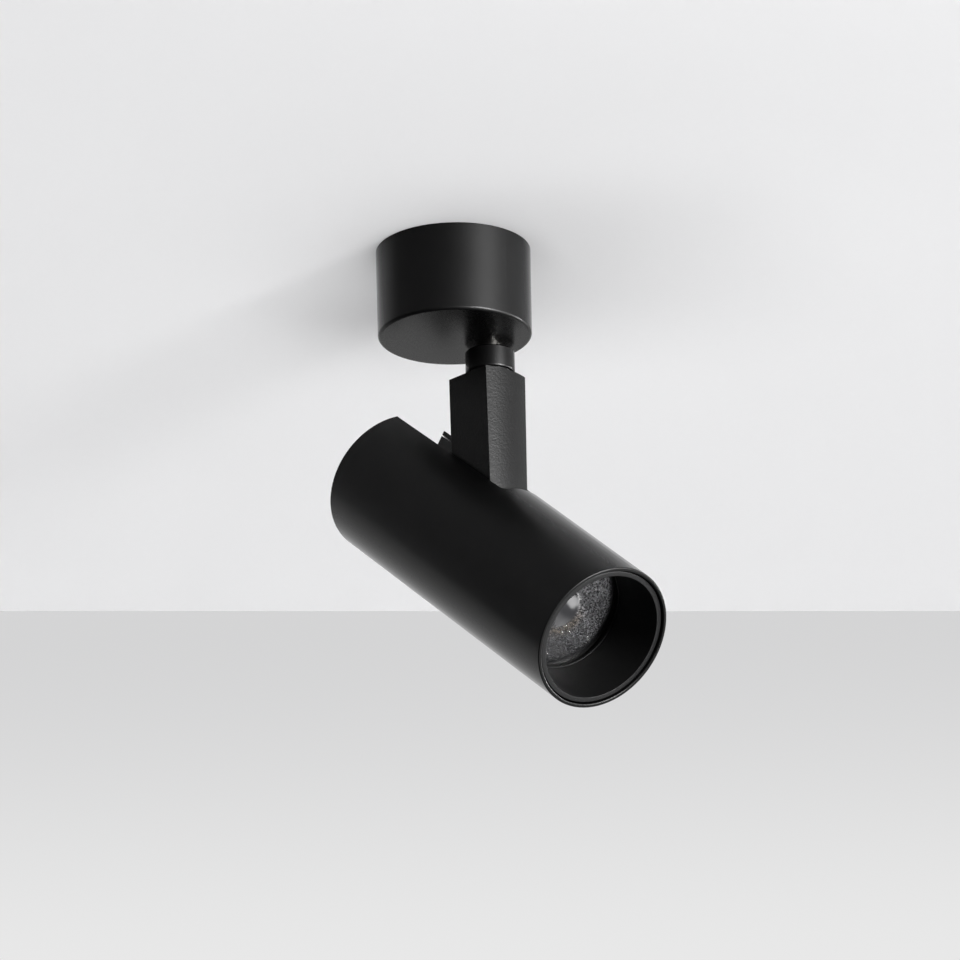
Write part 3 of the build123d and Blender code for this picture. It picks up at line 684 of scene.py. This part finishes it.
def lens_mesh(lens):
    """Closed mesh of the lens: rings of six more points each across the face, then equal rings."""
    face, side = lens_rings(lens)
    sectors = 6
    points = [(0.0, 0.0, -lens.bowl_depth)]
    faces = []
    rings = [[0]]

    def add_ring(radius, height, count):
        """Add a ring of points and give back their numbers."""
        first = len(points)
        for index in range(count):
            angle = 2 * pi * index / count
            points.append((radius * cos(angle), radius * sin(angle), height))
        return list(range(first, first + count))

    for number, (radius, height) in enumerate(face, 1):
        outer = add_ring(radius, height, sectors * number)
        inner = rings[-1]
        for sector in range(sectors):
            for index in range(number):
                out_a = outer[sector * number + index]
                out_b = outer[(sector * number + index + 1) % len(outer)]
                in_a = inner[(sector * (number - 1) + index) % len(inner)]
                faces.append((in_a, out_a, out_b))
                if index < number - 1:
                    in_b = inner[(sector * (number - 1) + index + 1) % len(inner)]
                    faces.append((in_a, out_b, in_b))
        rings.append(outer)
    for radius, height in side:
        ring = add_ring(radius, height, len(rings[-1]))
        last = rings[-1]
        for index in range(len(ring)):
            after = (index + 1) % len(ring)
            faces.append((last[index], ring[index], ring[after], last[after]))
        rings.append(ring)
    points.append((0.0, 0.0, side[-1][1]))
    ring = rings[-1]
    for index in range(len(ring)):
        faces.append((ring[index], len(points) - 1, ring[(index + 1) % len(ring)]))

    mesh = bpy.data.meshes.new("lens_blank")
    mesh.from_pydata(points, [], faces)
    mesh.validate()
    mesh.update()
    return mesh


def pebble_tree(lens, material):
    """Geometry nodes that raise pebbles on the flat band of the lens's face."""
    face_depth = 0.01 * MM
    dome_slope = 2.2
    scatter = 0.8
    tree = bpy.data.node_groups.new("lens_pebbles", "GeometryNodeTree")
    sizes = {
        "Pitch": lens.pebble_pitch,
        "Height": lens.pebble_height,
        "Inner": lens.bowl_radius,
        "Outer": lens.neck_radius,
        "Margin": lens.pebble_margin,
    }
    tree.interface.new_socket("Geometry", in_out="INPUT", socket_type="NodeSocketGeometry")
    for name in sizes:
        tree.interface.new_socket(name, in_out="INPUT", socket_type="NodeSocketFloat")
    tree.interface.new_socket("Geometry", in_out="OUTPUT", socket_type="NodeSocketGeometry")
    nodes = Nodes(tree)
    entry = nodes.node("NodeGroupInput").socket.node
    size = {name: Value(nodes, entry.outputs[name]) for name in sizes}
    place = nodes.node("GeometryNodeInputPosition")
    x, y, z = nodes.axes(place)
    radius = nodes.distance(x, y)
    band = nodes.ramp(radius, size["Inner"], size["Inner"] + size["Margin"])
    band = band * (1 - nodes.ramp(radius, size["Outer"] - size["Margin"], size["Outer"]))
    front = nodes.math("GREATER_THAN", z, -face_depth)
    distance = nodes.node("ShaderNodeTexVoronoi", {"voronoi_dimensions": "2D"}, {
        "Vector": place, "Scale": 1 / size["Pitch"], "Randomness": scatter})
    dome = nodes.math("MAXIMUM", 1 - dome_slope * distance * distance, 0.0)
    rise = nodes.node("ShaderNodeCombineXYZ", None, {"Z": size["Height"] * dome * band * front})
    raised = nodes.node("GeometryNodeSetPosition", None, {
        "Geometry": Value(nodes, entry.outputs["Geometry"]), "Offset": rise})
    whole = nodes.node("GeometryNodeRealizeInstances", None, {"Geometry": raised})
    clear = nodes.node("GeometryNodeSetMaterial", None, {"Geometry": whole, "Material": material})
    way_out = tree.nodes.new("NodeGroupOutput")
    nodes.feed(way_out.inputs["Geometry"], clear)
    return tree, sizes


def made_mesh(mesh, tree, sizes):
    """Run geometry nodes on a mesh and give back the plain mesh that they make."""
    blank = bpy.data.objects.new("blank", mesh)
    bpy.context.scene.collection.objects.link(blank)
    modifier = blank.modifiers.new("nodes", "NODES")
    modifier.node_group = tree
    for item in tree.interface.items_tree:
        if item.in_out == "INPUT" and item.name in sizes:
            modifier[item.identifier] = sizes[item.name]
    depsgraph = bpy.context.evaluated_depsgraph_get()
    made = bpy.data.meshes.new_from_object(blank.evaluated_get(depsgraph))
    bpy.data.objects.remove(blank)
    return made


# Glare shield and collar

def rounded(corner, before, after, size, steps=6):
    """Points of a rounding that takes the place of a profile's corner."""
    start = corner + (before - corner).normalized() * size
    end = corner + (after - corner).normalized() * size
    points = []
    for step in range(steps + 1):
        share = step / steps
        points.append(start.lerp(corner, share).lerp(corner.lerp(end, share), share))
    return points


def profile_points(corners):
    """Points of a closed profile from its corners' radius, height and rounding."""
    places = [Vector(corner[:2]) for corner in corners]
    points = []
    for index, (_, _, size) in enumerate(corners):
        if size:
            after = places[(index + 1) % len(places)]
            points += rounded(places[index], places[index - 1], after, size)
        else:
            points.append(places[index])
    return points


def shield_profile(shield):
    """Section of the shield, from the throat over the front lip and back to the foot."""
    throat, mouth, lip = shield.throat_radius, shield.mouth_radius, shield.lip_radius
    foot, face = shield.foot_height, shield.face_height
    ledge_radius = throat + shield.ledge
    ledge_top = foot + shield.ledge_height
    foot_top = foot + shield.foot_thickness
    lip_back = face - shield.lip_thickness
    band_back = lip_back - shield.band
    groove_top = lip_back - (shield.band - shield.groove) / 2
    groove_back = groove_top - shield.groove
    slope = (mouth - ledge_radius) / (face - ledge_top)
    return profile_points([
        (throat, foot, shield.edge),
        (throat, ledge_top, shield.edge),
        (ledge_radius, ledge_top, 0.0),
        (mouth, face, shield.edge),
        (lip, face, shield.lip_edge),
        (lip, groove_top, 0.0),
        (shield.groove_radius, groove_top, 0.0),
        (shield.groove_radius, groove_back, 0.0),
        (lip, groove_back, 0.0),
        (lip, band_back, 0.0),
        (mouth - (face - band_back) * slope + shield.wall, band_back, 0.0),
        (ledge_radius + shield.wall, foot_top, 0.0),
        (shield.foot_radius, foot_top, 0.0),
        (shield.foot_radius, foot, 0.0),
    ])


def collar_profile(collar):
    """Section of the collar, from its hollow over the top, at height 0, and down to the foot."""
    ledge = collar.foot_height - collar.height
    return profile_points([
        (collar.cavity_radius, -collar.height, 0.0),
        (collar.cavity_radius, -collar.top_thickness, 0.0),
        (collar.bore_radius, -collar.top_thickness, 0.0),
        (collar.bore_radius, 0.0, 0.0),
        (collar.radius - collar.top_edge, 0.0, 0.0),
        (collar.radius, -collar.top_edge, 0.0),
        (collar.radius, ledge, collar.foot_edge),
        (collar.foot_radius, ledge, 0.0),
        (collar.foot_radius, -collar.height, 0.0),
    ])


def turned_mesh(profile, turns):
    """Closed mesh of a section turned about the third axis."""
    points = []
    for turn in range(turns):
        angle = 2 * pi * turn / turns
        points += [(place.x * cos(angle), place.x * sin(angle), place.y) for place in profile]
    count = len(profile)
    faces = []
    for turn in range(turns):
        here = turn * count
        there = (turn + 1) % turns * count
        for index in range(count):
            after = (index + 1) % count
            faces.append((here + index, here + after, there + after, there + index))
    mesh = bpy.data.meshes.new("turned")
    mesh.from_pydata(points, [], faces)
    mesh.update()
    return mesh


# Operators

class SPOTLIGHT_OT_coat(bpy.types.Operator):
    """Coat the cup, bar and tube black"""

    bl_idname = "spotlight.coat"
    bl_label = "Black coat"

    def execute(self, context):
        dress(black_finishes(context.scene.spotlight_coat))
        return {"FINISHED"}


class SPOTLIGHT_OT_metals(bpy.types.Operator):
    """Finish the bolts, screws, springs, bushes and the bracket"""

    bl_idname = "spotlight.metals"
    bl_label = "Plain metals"

    def execute(self, context):
        dress(metal_finishes())
        return {"FINISHED"}


class SPOTLIGHT_OT_mouldings(bpy.types.Operator):
    """Finish the plastic and rubber pieces"""

    bl_idname = "spotlight.mouldings"
    bl_label = "Mouldings"

    def execute(self, context):
        dress(moulded_finishes())
        return {"FINISHED"}


class SPOTLIGHT_OT_light_engine(bpy.types.Operator):
    """Finish the heat sink, pad, board and light source"""

    bl_idname = "spotlight.light_engine"
    bl_label = "Light engine"

    def execute(self, context):
        dress(light_engine_finishes())
        return {"FINISHED"}


class SPOTLIGHT_OT_lens(bpy.types.Operator):
    """Make the clear lens with its bowl and pebbled face"""

    bl_idname = "spotlight.lens"
    bl_label = "Pebbled lens"

    def execute(self, context):
        lens = context.scene.spotlight_lens
        finish = clear_lens("lens_clear_plastic", lens)
        dress({"lens_clear": finish})
        mesh = made_mesh(lens_mesh(lens), *pebble_tree(lens, finish))
        face = tube_frame @ Matrix.Translation((0.0, 0.0, -lens.setback))
        piece = placed("pebbled_lens", mesh, face, radians(40))
        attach(piece, "head")
        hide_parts("tir_lens")
        return {"FINISHED"}


class SPOTLIGHT_OT_shield(bpy.types.Operator):
    """Make the glare shield with rounded edges and a ledge at its throat"""

    bl_idname = "spotlight.shield"
    bl_label = "Glare shield"

    def execute(self, context):
        shield = context.scene.spotlight_shield
        finish = shield_skin("shield_skin", shield.face_height)
        dress({"baffle_black": finish})
        mesh = turned_mesh(shield_profile(shield), shield.turns)
        mesh.materials.append(finish)
        piece = placed("glare_shield", mesh, tube_frame, radians(40))
        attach(piece, "head")
        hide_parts("baffle")
        return {"FINISHED"}


class SPOTLIGHT_OT_collar(bpy.types.Operator):
    """Make the collar with a rounded edge over its set-back foot"""

    bl_idname = "spotlight.collar"
    bl_label = "Collar"

    def execute(self, context):
        collar = context.scene.spotlight_collar
        coat = context.scene.spotlight_coat
        finish = powder_coat("collar_black_coat", coat.black, coat.collar_roughness, coat.grain, coat.relief)
        dress({"collar_black": finish})
        mesh = turned_mesh(collar_profile(collar), collar.turns)
        mesh.materials.append(finish)
        piece = placed("neck_collar", mesh, neck_frame, radians(30))
        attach(piece, "swivel")
        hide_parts("swivel_collar")
        return {"FINISHED"}


class SPOTLIGHT_OT_stage(bpy.types.Operator):
    """Set up the ceiling board, backdrop, lights and camera"""

    bl_idname = "spotlight.stage"
    bl_label = "Photo stage"

    def execute(self, context):
        stage = context.scene.spotlight_stage
        context.scene.view_settings.view_transform = "Standard"
        add_ceiling(stage)
        add_backdrop(stage)
        light_room(stage)
        add_lamps(stage)
        add_camera(stage)
        return {"FINISHED"}


# Camera

picture_side = 960
sensor_width = 36.0


def toward(turn, rise):
    """Direction at a turn round the lamp, 90 degrees is the mouth's side, and a height angle."""
    return Vector((sin(turn) * cos(rise), -cos(turn) * cos(rise), sin(rise)))


def shot_axes(stage):
    """Right, up and back directions of the camera, and its place."""
    turn, roll = stage.camera_turn, stage.camera_roll
    back = toward(turn, stage.camera_rise)
    right = Vector((cos(turn), sin(turn), 0.0))
    up = back.cross(right)
    place = Vector((0.0, 0.0, stage.aim_height)) + right * stage.aim_aside + back * stage.camera_distance
    return right * cos(roll) + up * sin(roll), up * cos(roll) - right * sin(roll), back, place


def add_camera(stage):
    """Camera at the photograph's angle."""
    right, up, back, place = shot_axes(stage)
    data = bpy.data.cameras.new("photo_camera")
    data.sensor_width = sensor_width
    data.lens = stage.camera_lens
    data.clip_end = 100.0
    camera = bpy.data.objects.new("photo_camera", data)
    camera.matrix_world = Matrix.Translation(place) @ Matrix((right, up, back)).transposed().to_4x4()
    bpy.context.scene.collection.objects.link(camera)
    bpy.context.scene.camera = camera


# Ceiling board and backdrop, with sizes in metres

ceiling_far_row = 611
ceiling_gap = 0.1 * MM
ceiling_hole_r = 30.2 * MM
ceiling_half_w = 1.3
ceiling_reach = 1.8
hole_points = 96
wall_behind = 0.9
wall_half_w = 2.2
wall_top = 1.0
wall_bottom = -1.5
wall_fade = (-0.05, 0.16)


def ceiling_point(stage, column, row):
    """Place on the ceiling that a pixel of the photograph shows."""
    right, up, back, place = shot_axes(stage)
    focus = stage.camera_lens * picture_side / sensor_width
    aside = (column - picture_side / 2) / focus
    above = (picture_side / 2 - row) / focus
    ray = right * aside + up * above - back
    return place + ray * ((ceiling_gap - place.z) / ray.z)


def stage_object(name, points, faces, material):
    """Flat stage piece, not attached to any body of the lamp."""
    mesh = bpy.data.meshes.new(name)
    mesh.from_pydata(points, [], faces)
    mesh.materials.append(material)
    piece = bpy.data.objects.new(name, mesh)
    bpy.context.scene.collection.objects.link(piece)


def one_sided(finish, shader):
    """Show a stage piece's front and leave its back clear, so that it hides nothing from behind."""
    back = finish.node("ShaderNodeNewGeometry", output="Backfacing")
    clear = finish.node("ShaderNodeBsdfTransparent")
    mixed = finish.node("ShaderNodeMixShader", None, {0: back, 1: shader, 2: clear})
    finish.feed(finish.tree.nodes["Material Output"].inputs["Surface"], mixed)
    return finish.material


def ceiling_paint(stage):
    """Plain matt white paint with a faint roller texture."""
    roller_size = 3 * MM
    finish = Finish("ceiling_paint")
    colour = finish.tones(stage.ceiling, 0.99, 1.0, finish.noise(finish.place, roller_size))
    return one_sided(finish, finish.node("ShaderNodeBsdfDiffuse", None, {"Color": colour}))


def ray_to_edge(ray, corners):
    """Distance from the middle to the edge of a board, along a direction."""
    level_enough = 1e-9
    slack = 1e-6
    reach = []
    for start, end in zip(corners, corners[1:] + corners[:1]):
        side = end - start
        across = side.x * ray.y - side.y * ray.x
        if abs(across) > level_enough:
            share = (start.y * ray.x - start.x * ray.y) / across
            distance = (start + side * share).dot(ray)
            if -slack <= share <= 1 + slack and distance > 0:
                reach.append(distance)
    return min(reach)


def add_ceiling(stage):
    """Ceiling board with a hole behind the cup, so that light from above reaches the cup's inside."""
    left = ceiling_point(stage, 0, ceiling_far_row)
    right = ceiling_point(stage, picture_side, ceiling_far_row)
    along = (right - left).normalized()
    near = Vector((along.y, -along.x, 0.0)) * ceiling_reach
    aside = along * ceiling_half_w
    far_middle = (left + right) / 2
    corners = [far_middle - aside, far_middle + aside, far_middle + aside + near, far_middle - aside + near]
    height = Vector((0.0, 0.0, ceiling_gap))
    hole = []
    edge = []
    faces = []
    for index in range(hole_points):
        angle = 2 * pi * index / hole_points
        ray = Vector((cos(angle), sin(angle), 0.0))
        hole.append(ray * ceiling_hole_r + height)
        edge.append(ray * ray_to_edge(ray, corners) + height)
        after = (index + 1) % hole_points
        faces.append((index, after, hole_points + after, hole_points + index))
    stage_object("ceiling_board", hole + edge, faces, ceiling_paint(stage))


def wall_paint(stage):
    """Pale wall that shows one plain brightness to the eye and in reflections."""
    finish = Finish("wall_paint")
    _, _, height = finish.axes(finish.place)
    colour = finish.blend(stage.wall_low, stage.wall_high, finish.ramp(height, *wall_fade))
    light = finish.node("ShaderNodeLightPath").socket.node.outputs
    seen = Value(finish, light["Is Camera Ray"]) + Value(finish, light["Is Glossy Ray"])
    seen = finish.math("MINIMUM", seen + Value(finish, light["Is Transmission Ray"]), 1.0)
    plain = finish.node("ShaderNodeBsdfDiffuse", None, {"Color": colour})
    even = finish.node("ShaderNodeEmission", None, {"Color": colour, "Strength": 1.0})
    return one_sided(finish, finish.node("ShaderNodeMixShader", None, {0: seen, 1: plain, 2: even}))


def add_backdrop(stage):
    """Wall behind the lamp, facing the camera."""
    across = Vector((cos(stage.camera_turn), sin(stage.camera_turn), 0.0)) * wall_half_w
    foot = Vector((-sin(stage.camera_turn), cos(stage.camera_turn), 0.0)) * wall_behind
    top = foot + Vector((0.0, 0.0, wall_top))
    foot.z = wall_bottom
    corners = [foot - across, foot + across, top + across, top - across]
    stage_object("backdrop_wall", corners, [(0, 1, 2, 3)], wall_paint(stage))


# Lights

# Cosines between which the room's light rises: round its bright side, over its floor, and above the ceiling
room_side_span = (-0.3, 1.0)
room_floor_span = (-0.62, -0.38)
room_above_span = (0.2, 0.5)

# Width and height of each lamp in metres
lamp_sizes = {
    "key": (0.25, 0.12),
    "sheen": (0.5, 0.12),
    "rim": (0.4, 0.25),
    "glint": (0.6, 0.42),
    "fill": (1.4, 1.4),
}
gloss_lamps = ("sheen", "rim", "glint")


def light_room(stage):
    """Room that is bright on one side and dark on the other, and plain where the camera sees it."""
    world = bpy.data.worlds.new("room")
    bpy.context.scene.world = world
    world.use_nodes = True
    nodes = Nodes(world.node_tree)
    way = nodes.node("ShaderNodeTexCoord", output="Generated")
    facing = nodes.dot(way, toward(stage.room_turn, 0.0))
    height = nodes.dot(way, (0.0, 0.0, 1.0))
    level = nodes.ramp(facing, *room_side_span, 0.0, stage.room_side) * nodes.ramp(height, *room_floor_span)
    level = level + nodes.ramp(height, *room_above_span, 0.0, stage.room_above)
    seen = nodes.node("ShaderNodeLightPath", output="Is Camera Ray")
    background = world.node_tree.nodes["Background"]
    background.inputs["Color"].default_value = (1.0, 1.0, 1.0, 1.0)
    nodes.feed(background.inputs["Strength"], level + seen * (stage.room_seen - level))


def add_lamp(name, place, aim, width, height, level):
    """Soft rectangular lamp. A level of 1 shows a white card at the aim as white."""
    data = bpy.data.lights.new(name, "AREA")
    data.shape = "RECTANGLE"
    data.size = width
    data.size_y = height
    data.energy = level * pi ** 2 * (place - aim).length_squared
    lamp = bpy.data.objects.new(name, data)
    lamp.location = place
    lamp.rotation_euler = (aim - place).to_track_quat("-Z", "Y").to_euler()
    lamp.visible_camera = False
    bpy.context.scene.collection.objects.link(lamp)
    return lamp


def add_lamps(stage):
    """Key lamp low at the side, three lamps for gloss alone, and a wide fill lamp underneath."""
    low, high = cad_box
    aim = (low + high) / 2
    for name, (width, height) in lamp_sizes.items():
        level, turn, rise = [getattr(stage, f"{name}_{part}") for part in ("level", "turn", "rise")]
        distance = stage.fill_distance if name == "fill" else stage.lamp_distance
        place = aim + toward(turn, rise) * distance
        lamp = add_lamp(f"{name}_lamp", place, aim, width, height, level)
        lamp.visible_diffuse = name not in gloss_lamps
        lamp.visible_transmission = name not in gloss_lamps
        lamp.visible_glossy = name != "fill"


# Panel and registration

setting_groups = {
    "spotlight_coat": CoatSettings,
    "spotlight_lens": LensSettings,
    "spotlight_shield": ShieldSettings,
    "spotlight_collar": CollarSettings,
    "spotlight_stage": StageSettings,
}
steps = (
    SPOTLIGHT_OT_coat,
    SPOTLIGHT_OT_metals,
    SPOTLIGHT_OT_mouldings,
    SPOTLIGHT_OT_light_engine,
    SPOTLIGHT_OT_lens,
    SPOTLIGHT_OT_shield,
    SPOTLIGHT_OT_collar,
    SPOTLIGHT_OT_stage,
)


class SPOTLIGHT_PT_panel(bpy.types.Panel):
    """Sizes, colours and steps of the spotlight"""

    bl_idname = "SPOTLIGHT_PT_panel"
    bl_label = "Ceiling spotlight"
    bl_space_type = "VIEW_3D"
    bl_region_type = "UI"
    bl_category = "Spotlight"

    def draw(self, context):
        for group, kind in setting_groups.items():
            box = self.layout.box()
            for name in kind.__annotations__:
                box.prop(getattr(context.scene, group), name)
        for step in steps:
            self.layout.operator(step.bl_idname)


classes = (*setting_groups.values(), *steps, SPOTLIGHT_PT_panel)


def register():
    """Add the classes and hang the settings on the scene."""
    for item in classes:
        bpy.utils.register_class(item)
    for group, kind in setting_groups.items():
        setattr(bpy.types.Scene, group, PointerProperty(type=kind))


def unregister():
    """Take the settings and the classes away again."""
    for group in reversed(setting_groups):
        delattr(bpy.types.Scene, group)
    for item in reversed(classes):
        bpy.utils.unregister_class(item)


def main():
    """Dress the frame, make the lens, shield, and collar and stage."""
    register()
    bpy.ops.spotlight.coat()
    bpy.ops.spotlight.metals()
    bpy.ops.spotlight.mouldings()
    bpy.ops.spotlight.light_engine()
    bpy.ops.spotlight.lens()
    bpy.ops.spotlight.shield()
    bpy.ops.spotlight.collar()
    bpy.ops.spotlight.stage()


if __name__ == "__main__":
    main()
